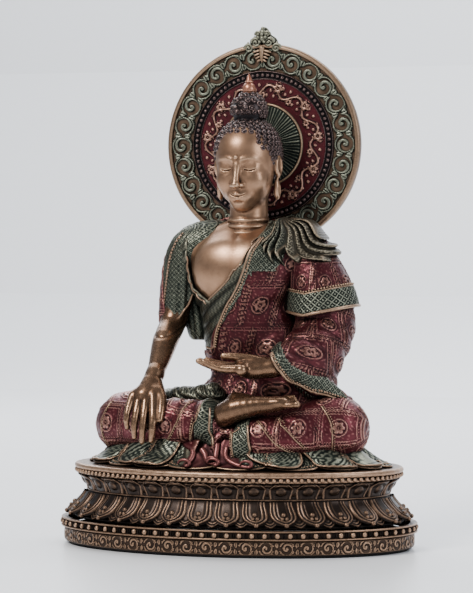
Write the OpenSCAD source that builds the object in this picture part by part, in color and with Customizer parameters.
// Seated earth-touching figure on an oval double-lotus base, with a lift-off halo.
// Millimetres. +Z up, the figure faces -Y, origin at the centre of the underside.

/* [Base] */
// Width of the plinth
base_w = 176; // [150:1:200]
// Depth of every oval of the base as a share of its width
oval_ratio = 0.659; // [0.6:0.005:0.72]
// Height of the top of the seat slab
seat_z = 39.5; // [36:0.5:44]
// Petals in each lotus tier
petal_count = 32; // [24:2:36]

/* [Figure] */
// Knee to knee width of the lap
lap_w = 138; // [132:1:142]
// Height of the pit of the neck
neck_z = 152; // [150:0.5:154]
// Height of the crown of the hair
crown_z = 221; // [219:0.5:223]
// Width of the head across the temples
head_w = 31; // [29:0.5:32]
// Forward bow of the head in degrees
head_bow = 8; // [4:1:10]

/* [Halo] */
// Radius of the halo
halo_r = 50.5; // [48:0.5:52]
// Height of the halo's centre
halo_z = 195.2; // [193:0.2:198]
// Thickness of the halo plate
halo_t = 3.4; // [3:0.2:4]
// Length of the tang that plugs into the socket
tang_l = 24; // [20:1:26]

/* [Hidden] */

glue = 0.12;            // glue line between castings
felt_t = 1;             // felt thickness
plate_t = 2;            // closing plate thickness
plinth_top = 8.4;       // top of the engraved drum
rail_top = 13;          // top of the bead rail and its ledge
waist_z = 26;           // narrowest level, where the two lotus tiers meet
slab_z = 34.6;          // underside of the seat slab
lower_w = 168;          // lower lotus core at its foot
waist_w = 149;          // lotus cores at the waist
upper_w = 158;          // upper lotus core at its top
slab_w = 165;           // seat slab
slab_edge = 2.6;        // depth of its overhanging edge
cavity_w = 134;         // hollow inside the base
plate_w = cavity_w + 8; // rebate for the closing plate
drum_w = base_w - 4;    // ledge of the plinth behind the bead rail
felt_w = base_w - 5;
bead_r = 1.1;           // beads under the slab
slab_bead_count = 120;
halo_y = 38.4;          // front face of the halo plate
bead_ring_r = 34.3;     // circle of beads on the halo
halo_bead_count = 84;
scroll_count = 26;      // roundels on the scroll band
scroll_band_r = 42.4;   // circle of the roundels
centre_disc_r = 21;
rim_w = 2.4;            // plain border of the halo
rim_lip = 1.2;          // how far it stands in front of the plate
dowel_r = 2;
pin_fit = 0.2;          // extra radius of the holes for the pins
under_t = 1.5;          // thickness of the inner robe on the body
robe_t = 3.8;           // outer face of the outer robe above the body
under_cut = [14, 32];   // half width and depth of the opening of the inner robe
robe_cut = [19, 46];    // and of the outer robe
F = 12;                 // facets of the cast shapes
F_fine = 8;             // facets of fingers and toes
F_core = 48;            // facets of the ovals inside the lotus tiers

robe_foot_z = seat_z + 22; // where the two robes end inside the lap
knee_x = lap_w / 2 - 16;
chest = [0, 9, neck_z - 24];
waist = [0, 11, seat_z + 50];
shoulder_r = [-25, 13, neck_z - 10];
shoulder_l = [26, 13, neck_z - 10];
elbow_r = [-36, 7, seat_z + 66];
wrist_r = [-34, -23, seat_z + 44];
knuckles_r = [-36, -33, seat_z + 34];
elbow_l = [44, 10, seat_z + 62];
wrist_l = [27, -21, seat_z + 48];
head_c = [2, 9, crown_z - 36];
crown_y = head_c[1] + 2.5; // axis of the raised crown and its jewel
eye = head_w / 5;       // the head is five eyes wide
head_h = 7 * eye;       // and seven eyes tall
skull_top = head_h / 2; // heights in the head are measured from its middle, the eye line
brow_z = skull_top - 3 * eye;
nose_z = skull_top - 5 * eye;
chin_z = skull_top - 7 * eye;
temple = head_w / 2;
curl_t = 2;             // depth of the curls on the skull

// A ball with unequal half-axes a at the point p, made grow larger all round.
module blob(p, a, grow = 0) {
    hull() translate(p) scale([a[0] + grow, a[1] + grow, a[2] + grow]) sphere(r = 1, $fn = F);
}

// A round limb through points of the form [x, y, z, radius].
module limb(points, grow = 0, facets = F) {
    for (i = [0 : len(points) - 2])
        hull() for (p = [points[i], points[i + 1]])
            translate([p[0], p[1], p[2]]) sphere(r = p[3] + grow, $fn = facets);
}

// A blended chain of blobs: each entry is [centre, half-axes].
module chain(list, grow = 0) {
    for (i = [0 : len(list) - 2])
        hull() {
            blob(list[i][0], list[i][1], grow);
            blob(list[i + 1][0], list[i + 1][1], grow);
        }
}

// An oval plate of the base's proportions.
module oval(w, h, z = 0, facets = 96) {
    translate([0, 0, z]) linear_extrude(h) polygon([
        for (i = [0 : facets - 1])
            [w / 2 * cos(360 * i / facets), w / 2 * oval_ratio * sin(360 * i / facets)]
    ]);
}

// Places children at count even steps round an oval of width w, facing outwards.
module round_oval(count, w, step = 0) {
    for (i = [0 : count - 1]) {
        a = 360 * (i + step) / count;
        x = w / 2 * cos(a);
        y = w / 2 * oval_ratio * sin(a);
        translate([x, y, 0]) rotate(atan2(y, x * oval_ratio * oval_ratio)) children();
    }
}

// ---- base ----

module felt_pad() {
    color("dimgray") oval(felt_w, felt_t);
}

module bottom_plate() {
    color("tan") oval(plate_w - 2 * glue, plate_t, felt_t);
}

module plinth() {
    color("saddlebrown") difference() {
        union() {
            oval(base_w, plinth_top - felt_t, felt_t);
            oval(drum_w, rail_top - plinth_top, plinth_top);
        }
        oval(cavity_w, rail_top, felt_t);
        oval(plate_w, plate_t + glue, felt_t);
    }
}

// The half-round moulding that carries the bead and reel.
module plinth_bead_rail() {
    color("peru") difference() {
        union() {
            oval(base_w + 1, rail_top - plinth_top, plinth_top);
            oval(base_w + 4, rail_top - plinth_top - 1.6, plinth_top + 0.8);
        }
        oval(drum_w + 2 * glue, rail_top, plinth_top - 1);
    }
}

// One petal: a fat leaf lying on the core from its root to its curled tip.
module petal(root, belly, tip, w) {
    hull() {
        translate(root) sphere(r = w * 0.26, $fn = 4);
        translate(belly) scale([0.62, 1, 1]) sphere(r = w * 0.54, $fn = 6);
        translate(tip) sphere(r = w * 0.18, $fn = 4);
    }
}

// A flared oval core between two levels, hollow inside.
module lotus_core(w0, w1, z0, z1) {
    difference() {
        hull() {
            oval(w0, 0.4, z0, F_core);
            oval(w1, 0.4, z1 - 0.4, F_core);
        }
        oval(cavity_w, z1 - z0 + 2, z0 - 1, F_core);
    }
}

module lower_lotus() {
    color("sienna") intersection() {
        union() {
            lotus_core(lower_w, waist_w, rail_top, waist_z);
            round_oval(petal_count, lower_w)
                petal([-7, 0, 25], [-2.6, 0, 19.5], [1.6, 0, 15.2], 12.4);
        }
        difference() {
            oval(base_w + 6, waist_z - rail_top, rail_top);
            oval(cavity_w, waist_z, 1, F_core);
        }
    }
}

module upper_lotus() {
    color("sienna") intersection() {
        union() {
            hull() {
                oval(waist_w, 0.4, waist_z, F_core);
                oval(upper_w, 0.4, slab_z - 0.4, F_core);
            }
            round_oval(petal_count, upper_w - 6, 0.5)
                petal([-3, 0, 27], [-0.4, 0, 30], [3.2, 0, 33.4], 9.6);
        }
        oval(slab_w, slab_z - waist_z, waist_z);
    }
}

// Two pins tie the lap to the slab.
module seat_pins(r) {
    for (side = [-1, 1])
        translate([side * 30, 0, seat_z - 4]) cylinder(r = r, h = 12, $fn = 32);
}

module seat_slab() {
    color("peru") difference() {
        union() {
            oval(slab_w - 2, seat_z - slab_z - slab_edge, slab_z);
            oval(slab_w, slab_edge, seat_z - slab_edge);
        }
        seat_pins(dowel_r + 0.05);
    }
}

module slab_beads() {
    color("peru") round_oval(slab_bead_count, slab_w - 2)
        translate([bead_r + glue, 0, seat_z - slab_edge - bead_r - glue]) sphere(r = bead_r, $fn = 16);
}

module seat_dowels() {
    color("silver") seat_pins(dowel_r);
}

// ---- figure: plain shapes, shared by the pieces that are fitted to them ----

// The bare body from the hips to the pit of the neck.
module body_shape(grow = 0) {
    chain([
        [[0, 9, seat_z + 26], [23, 18, 16]],
        [waist, [17.5, 13.5, 14]],
        [chest, [26, 17, 15]],
        [[1, 12, neck_z - 3], [11, 9, 5]]
    ], grow);
    for (s = [shoulder_r, shoulder_l])
        hull() {
            blob(chest, [24, 15, 12], grow);
            blob(s, [9.5, 9.5, 9], grow);
        }
    hull() {
        blob(shoulder_r, [8, 8, 7], grow);
        blob([1, 12, neck_z - 3], [11, 9, 5], grow);
        blob(shoulder_l, [8, 8, 7], grow);
    }
}

// A finger through its three joints.
module finger(a, b, c, r, grow = 0) {
    limb([[a[0], a[1], a[2], r], [b[0], b[1], b[2], r * 0.9], [c[0], c[1], c[2], r * 0.7]], grow, F_fine);
}

module right_arm_shape(grow = 0) {
    limb([
        [shoulder_r[0] - 3, shoulder_r[1], shoulder_r[2] - 4, 8.5],
        [elbow_r[0] + 2, elbow_r[1], elbow_r[2] + 12, 7.6],
        [elbow_r[0], elbow_r[1], elbow_r[2], 6.8],
        [elbow_r[0] + 1, elbow_r[1] - 9, elbow_r[2] - 7, 6.6],
        [wrist_r[0], wrist_r[1], wrist_r[2], 4.3]
    ], grow);
    hull() {
        blob(wrist_r, [4.6, 3.6, 4], grow);
        blob(knuckles_r, [7.4, 3.4, 4], grow);
    }
    for (i = [0 : 3])
        finger([knuckles_r[0] + 5.6 - 3.7 * i, knuckles_r[1] - 1, knuckles_r[2] - 1],
               [knuckles_r[0] + 6.6 - 3.7 * i, knuckles_r[1] - 6, knuckles_r[2] - 9],
               [knuckles_r[0] + 7 - 3.5 * i, knuckles_r[1] - 6.5, knuckles_r[2] - 18 + 0.9 * i],
               2.1, grow);
    finger([wrist_r[0] + 4, wrist_r[1] - 5, wrist_r[2] - 5],
           [wrist_r[0] + 8, wrist_r[1] - 11, wrist_r[2] - 11],
           [wrist_r[0] + 8.5, wrist_r[1] - 15, wrist_r[2] - 18], 2.2, grow);
}

module left_hand_shape(grow = 0) {
    limb([
        [elbow_l[0] - 6, elbow_l[1] - 12, elbow_l[2] - 7, 6],
        [wrist_l[0], wrist_l[1], wrist_l[2], 4.4]
    ], grow);
    hull() {
        blob(wrist_l, [4.4, 5, 3.8], grow);
        blob([12, -27, seat_z + 46.6], [6, 8, 3.4], grow);
    }
    for (i = [0 : 3])
        finger([10, -22 - 4 * i, seat_z + 46.5], [0, -24 - 3.8 * i, seat_z + 47.4],
               [-9 + abs(i - 1.5), -26 - 3.4 * i, seat_z + 50.6], 2, grow);
    finger([18, -26, seat_z + 49], [10, -27.5, seat_z + 51.6], [2, -28.5, seat_z + 52.4], 2.2, grow);
}

// The crossed legs under the robe, without their feet.
module legs_shape(grow = 0) {
    for (side = [-1, 1])
        chain([
            [[side * 12, 12, seat_z + 17], [20, 20, 17]],
            [[side * 34, 2, seat_z + 17.5], [19, 18, 16]],
            [[side * knee_x, -12, seat_z + 17], [16, 17, 16.5]],
            [[side * 28, -24, seat_z + 14], [15, 14, 13]],
            [[side * 4, -32, seat_z + 12], [12, 11, 11]]
        ], grow);
}

module foot_shape(grow = 0) {
    chain([
        [[-8, -31, seat_z + 26], [7, 6, 6]],
        [[4, -35, seat_z + 28], [7.4, 6, 8]],
        [[18, -35, seat_z + 30.5], [6, 4.6, 5.6]],
        [[31, -33, seat_z + 32.5], [5, 4, 5.6]]
    ], grow);
    for (i = [0 : 4])
        limb([[32, -33 - i * 0.6, seat_z + 36.4 - 2.2 * i, 1.9],
              [39.5 - 0.9 * i, -31.6 - i * 0.6, seat_z + 36.2 - 2 * i, 1.5 - 0.06 * i]], grow, F_fine);
}

// Puts a shape drawn about the head's middle into place, bowed forward.
module in_head() {
    translate(head_c) rotate([head_bow, 0, 0]) children();
}

// Skull, jaw, nose, ears and the ringed neck, on the seven-eye canon.
module head_shape(grow = 0) {
    in_head() {
        hull() {
            blob([0, 1, skull_top - temple], [temple, temple * 1.15, temple], grow);
            blob([0, -3, nose_z + eye], [temple * 0.84, temple * 0.8, eye * 1.6], grow);
        }
        hull() {
            blob([0, -4, nose_z + eye / 2], [temple * 0.78, temple * 0.72, eye], grow);
            blob([0, -temple * 0.62, chin_z + eye * 0.7], [eye * 0.9, eye * 0.75, eye * 0.7], grow);
        }
        hull() {
            blob([0, -temple * 1.12, nose_z + 1.4], [eye * 0.42, eye * 0.4, eye * 0.3], grow);
            blob([0, -temple * 0.98, brow_z - 1], [eye * 0.22, eye * 0.25, eye * 0.3], grow);
        }
        for (side = [-1, 1])
            hull() {
                blob([side * (temple + 0.4), 2, brow_z - 1.6], [eye * 0.34, eye * 0.66, eye * 0.8], grow);
                blob([side * (temple - 0.8), 0, nose_z - eye], [eye * 0.3, eye * 0.42, eye * 0.7], grow);
            }
    }
    for (i = [0 : 2])
        blob([1.6, 11.5, neck_z + 8.2 - 3.2 * i], [9.8 + 0.8 * i, 9 + 0.6 * i, 2.4], grow);
    limb([[1.6, 11.5, neck_z - 2, 7], [1.8, 11, neck_z + 22, 8.6]], grow);
}

module sleeve_shape(grow = 0) {
    chain([
        [shoulder_l + [0, 1, -1], [14.5, 13, 12]],
        [shoulder_l + [12, -1, -20], [13.5, 13, 12]],
        [elbow_l + [0, 0, -2], [12, 13, 12]],
        [elbow_l + [-4, -16, -9], [13, 11, 10.5]],
        [wrist_l + [6, 1, 0], [5, 9, 9.5]]
    ], grow);
    hull() {
        blob(elbow_l + [-2, -2, -14], [10, 12, 9], grow);
        blob(elbow_l + [14, -4, -31], [8, 10, 4], grow);
    }
}

// A rod along Y, used to cut from the front.
module rod(x, z, r) {
    translate([x, -20, z]) rotate([90, 0, 0]) cylinder(r = r, h = 40, center = true, $fn = 24);
}

// The opening of a robe over the chest: a slanted window of a given [half width, depth] and the neck hole.
module neckline(cut) {
    hull() {
        rod(-4 - cut[0], neck_z - 4, 5);
        rod(7 + cut[0] * 0.3, neck_z - 2, 6);
        rod(-8, neck_z - cut[1], 4);
    }
    translate([1, 8, neck_z + 2]) scale([13, 13, 12]) sphere(r = 1, $fn = F);
}

// Everything above the seat.
module above_seat() {
    intersection() {
        translate([-100, -60, seat_z]) cube([200, 110, 240]);
        children();
    }
}

// ---- figure: the pieces ----

module skirt_hem() {
    color("darkslategray") above_seat() difference() {
        union() {
            hull() for (side = [-1, 1])
                blob([side * 46, -8, seat_z], [28, 34, 6]);
            for (i = [0 : 9]) {
                x = -54 + 12 * i;
                hull() {
                    blob([x, -34 + abs(x) * 0.14, seat_z], [9, 9, 3.6]);
                    blob([x, -20, seat_z + 2], [9, 9, 7]);
                }
            }
            for (side = [-1, 1])
                hull() {
                    blob([side * 70, -8, seat_z], [6.5, 12, 3]);
                    blob([side * 56, -4, seat_z + 3], [10, 14, 8]);
                }
        }
        legs_shape(glue);
        seat_pins(dowel_r + pin_fit);
    }
}

module lap_robe() {
    color("brown") above_seat() difference() {
        legs_shape();
        body_shape(glue);
        intersection() {
            body_shape(robe_t + glue);
            translate([-50, -50, robe_foot_z - glue]) cube([100, 120, 60]);
        }
        foot_shape(glue);
        right_arm_shape(glue);
        left_hand_shape(glue);
        sleeve_shape(glue);
        seat_pins(dowel_r + pin_fit);
    }
}

module right_foot() {
    color("darkgoldenrod") difference() {
        foot_shape();
        right_arm_shape(glue);
    }
}

module torso() {
    color("peru") difference() {
        body_shape();
        head_shape(glue);
        arm_pin(dowel_r + pin_fit);
        neck_pin(dowel_r + pin_fit);
    }
}

module under_robe() {
    color("darkolivegreen") difference() {
        body_shape(under_t);
        body_shape(glue);
        neckline(under_cut);
        head_shape(1);
        translate([-50, -50, 0]) cube([100, 120, robe_foot_z]);
        translate([-50, 16, 0]) cube([100, 60, 400]);
        arm_pin(dowel_r + pin_fit);
    }
}

module outer_robe() {
    color("brown") difference() {
        body_shape(robe_t);
        body_shape(under_t + glue);
        neckline(robe_cut);
        head_shape(1);
        right_arm_shape(glue);
        sleeve_shape(glue);
        translate([-50, -50, 0]) cube([100, 120, robe_foot_z]);
        socket_block(glue);
        arm_pin(dowel_r + pin_fit);
    }
}

// The robe's edge laid over the right shoulder and down the outside of the arm.
module shawl_shape(grow = 0) {
    hull() {
        blob([-9, 16, neck_z + 1], [7, 8, 4], grow);
        blob(shoulder_r + [-4, 1, 0], [12, 13, 10], grow);
    }
    limb([
        [shoulder_r[0] - 5, 13, shoulder_r[2] - 6, 12.5],
        [elbow_r[0] + 1, elbow_r[1] + 4, elbow_r[2] + 14, 11.4],
        [elbow_r[0] + 1, elbow_r[1] + 5, elbow_r[2] + 2, 9.6]
    ], grow);
}

module right_shawl() {
    color("darkslategray") difference() {
        shawl_shape();
        right_arm_shape(glue);
        body_shape(robe_t + glue);
        neckline(robe_cut);
        head_shape(1);
        hull() {
            translate([-24, -16, neck_z - 14]) sphere(r = 12, $fn = F);
            translate([-26, -18, seat_z + 66]) sphere(r = 18, $fn = F);
        }
    }
}

module right_arm() {
    color("darkgoldenrod") difference() {
        right_arm_shape();
        body_shape(under_t + glue);
        arm_pin(dowel_r + pin_fit);
    }
}

module arm_pin(r) {
    translate([shoulder_r[0] + 6, shoulder_r[1], shoulder_r[2] - 5])
        rotate([0, -90, 0]) cylinder(r = r, h = 17, $fn = 32);
}

module arm_dowel() {
    color("silver") arm_pin(dowel_r);
}

module band_zone() {
    translate(shoulder_l + [13, -1, -24]) rotate([0, 14, 0])
        cube([60, 60, 10], center = true);
}

module left_sleeve() {
    color("brown") difference() {
        sleeve_shape();
        body_shape(robe_t + glue);
        left_hand_shape(0.8);
        intersection() {
            difference() {
                sleeve_shape(1);
                sleeve_shape(-1.2 - glue);
            }
            band_zone();
        }
        foot_shape(glue);
        wrist_pin(dowel_r + pin_fit);
    }
}

// The latticed band that wraps the upper sleeve.
module sleeve_band() {
    color("darkslategray") intersection() {
        difference() {
            sleeve_shape(0.8);
            sleeve_shape(-1.2);
            body_shape(robe_t + glue);
        }
        band_zone();
    }
}

module left_hand() {
    color("darkgoldenrod") difference() {
        left_hand_shape();
        wrist_pin(dowel_r + pin_fit);
    }
}

module wrist_pin(r) {
    translate(elbow_l + [-4, -8, -5]) rotate([-70, 0, 20]) cylinder(r = r, h = 12, $fn = 32);
}

module wrist_dowel() {
    color("silver") wrist_pin(dowel_r);
}

module head() {
    color("peru") difference() {
        head_shape();
        neck_pin(dowel_r + pin_fit);
        forehead_seat(1.3);
    }
}

module neck_pin(r) {
    translate([1, 12, neck_z - 10]) cylinder(r = r, h = 18, $fn = 32);
}

module neck_dowel() {
    color("silver") neck_pin(dowel_r);
}

// The skull cap of snail curls with its raised crown, down to the nape and temples.
module hair() {
    color("dimgray") difference() {
        union() {
            in_head() {
                blob([0, 1.6, skull_top - temple], [temple, temple * 1.15, temple], curl_t);
                hull() {
                    blob([0, 6, 0], [temple, temple * 0.9, temple * 0.7]);
                    blob([0, 8, nose_z], [temple * 0.7, temple * 0.55, eye]);
                }
            }
            hull() {
                blob(head_c + [0, 2.5, temple * 0.9], [temple * 0.76, temple * 0.76, temple * 0.6]);
                blob([head_c[0], crown_y, crown_z - 8.6], [8.5, 8.6, 8.6]);
            }
        }
        in_head() hull() {
            blob([0, -temple * 1.3, skull_top - 1.9 * eye], [temple * 0.72, temple * 0.8, eye * 0.9]);
            blob([0, -temple * 1.3, chin_z], [temple * 0.95, temple * 0.95, eye]);
        }
        head_shape(glue);
        jewel_pin(1.2);
    }
}

module jewel_pin(r) {
    translate([head_c[0], crown_y, crown_z - 5]) cylinder(r = r, h = 5.5, $fn = 24);
}

// The bead sits between the brows, half sunk.
module forehead_seat(r) {
    in_head() translate([0, -temple * 1.06, brow_z + eye * 0.4]) sphere(r = r, $fn = 24);
}

module forehead_bead() {
    color("peru") forehead_seat(1.1);
}

// A bulb with a drawn-up tip, on a pin in the crown.
module crown_jewel() {
    color("chocolate") {
        jewel_pin(1);
        translate([head_c[0], crown_y, 0]) rotate_extrude($fn = 48) polygon([
            [0, crown_z], [2.6, crown_z + 0.2], [3.3, crown_z + 1.8], [2.9, crown_z + 3.4],
            [1.6, crown_z + 5.2], [0.8, crown_z + 7], [0, crown_z + 8.4]
        ]);
    }
}

// ---- halo ----

// Turns a shape drawn flat so that it faces the viewer on the halo's front, h in front of it.
module on_halo(h = 0) {
    translate([0, halo_y - h, halo_z]) rotate([90, 0, 0]) children();
}

module tang_block(grow = 0) {
    translate([-7 - grow, halo_y + 0.2 - grow, halo_z - halo_r - tang_l + 2])
        cube([14 + 2 * grow, halo_t - 0.4 + 2 * grow, tang_l]);
}

module socket_block(grow = 0) {
    translate([-11 - grow, 22, neck_z - 34 - grow])
        cube([22 + 2 * grow, halo_y + halo_t + 3 - 22 + grow, 25 + 2 * grow]);
}

// The boss on the back that takes the halo's tang.
module halo_socket() {
    color("saddlebrown") difference() {
        socket_block();
        body_shape(under_t + 2 * glue);
        tang_block(0.25);
    }
}

module halo_plate() {
    color("tan") translate([0, halo_y + halo_t, halo_z]) rotate([90, 0, 0])
        cylinder(r = halo_r - rim_w, h = halo_t, $fn = 128);
}

// The plain raised border round the plate.
module halo_rim() {
    color("darkgoldenrod") difference() {
        translate([0, halo_y + halo_t, halo_z]) rotate([90, 0, 0]) rotate_extrude($fn = 128)
            polygon([
                [halo_r - rim_w + glue, 0], [halo_r - 0.6, 0], [halo_r, 0.8], [halo_r, halo_t + 0.4],
                [halo_r - 0.8, halo_t + rim_lip], [halo_r - rim_w + glue, halo_t + rim_lip]
            ]);
        tang_block(0.05);
    }
}

// A low dome standing on a flat face.
module dome(r) {
    rotate_extrude($fn = 24) intersection() {
        circle(r = r, $fn = 24);
        square(r);
    }
}

// A flat-backed ring with a round face.
module ring(major, minor) {
    rotate_extrude($fn = 64) translate([major, 0]) intersection() {
        circle(r = minor, $fn = 24);
        translate([-minor, 0]) square([2 * minor, minor]);
    }
}

module halo_scrolls() {
    color("darkslategray") on_halo() for (i = [0 : scroll_count - 1])
        rotate(90 + 360 * (i + 0.5) / scroll_count) translate([scroll_band_r, 0, 0]) {
            ring(3.5, 0.8);
            dome(1.5);
        }
}

module halo_bead_ring() {
    color("black") on_halo() for (i = [0 : halo_bead_count - 1])
        rotate(360 * i / halo_bead_count) translate([bead_ring_r, 0, 0]) dome(0.95);
}

module halo_flower_panel() {
    color("firebrick") on_halo() difference() {
        cylinder(r = bead_ring_r - 2.2, h = 1, $fn = 96);
        translate([0, 0, -1]) cylinder(r = centre_disc_r + glue, h = 3, $fn = 96);
    }
}

module halo_centre_disc() {
    color("darkslategray") on_halo() {
        cylinder(r = centre_disc_r, h = 1.2, $fn = 96);
        translate([0, 0, 1.2]) ring(centre_disc_r - 1, 0.9);
    }
}

// The flowered finial on top of the rim.
module halo_crest() {
    color("darkslategray") difference() {
        translate([0, halo_y + halo_t / 2, halo_z + halo_r]) union() {
            for (side = [-1, 1]) {
                limb([[0, 0, 1.4, 2.2], [side * 4.4, 0, -0.4, 2], [side * 9, 0, -1.6, 1.3]]);
                limb([[side * 1.6, 0, 3.4, 2], [side * 3.6, 0, 3.8, 1.4]]);
            }
            limb([[0, 0, 1, 2.6], [0, 0, 4.4, 2.2], [0, 0, 7.2, 1.3]]);
        }
        translate([0, halo_y + halo_t + 9, halo_z]) rotate([90, 0, 0])
            cylinder(r = halo_r + glue, h = 20, $fn = 128);
    }
}

module halo_tang() {
    color("saddlebrown") difference() {
        tang_block();
        translate([0, halo_y + halo_t + 9, halo_z]) rotate([90, 0, 0])
            cylinder(r = halo_r - rim_w + glue, h = 20, $fn = 128);
    }
}

felt_pad();
bottom_plate();
plinth();
plinth_bead_rail();
lower_lotus();
upper_lotus();
seat_slab();
slab_beads();
seat_dowels();
skirt_hem();
lap_robe();
right_foot();
torso();
under_robe();
outer_robe();
right_shawl();
right_arm();
arm_dowel();
left_sleeve();
sleeve_band();
left_hand();
wrist_dowel();
head();
neck_dowel();
hair();
forehead_bead();
crown_jewel();
halo_socket();
halo_plate();
halo_rim();
halo_scrolls();
halo_bead_ring();
halo_flower_panel();
halo_centre_disc();
halo_crest();
halo_tang();
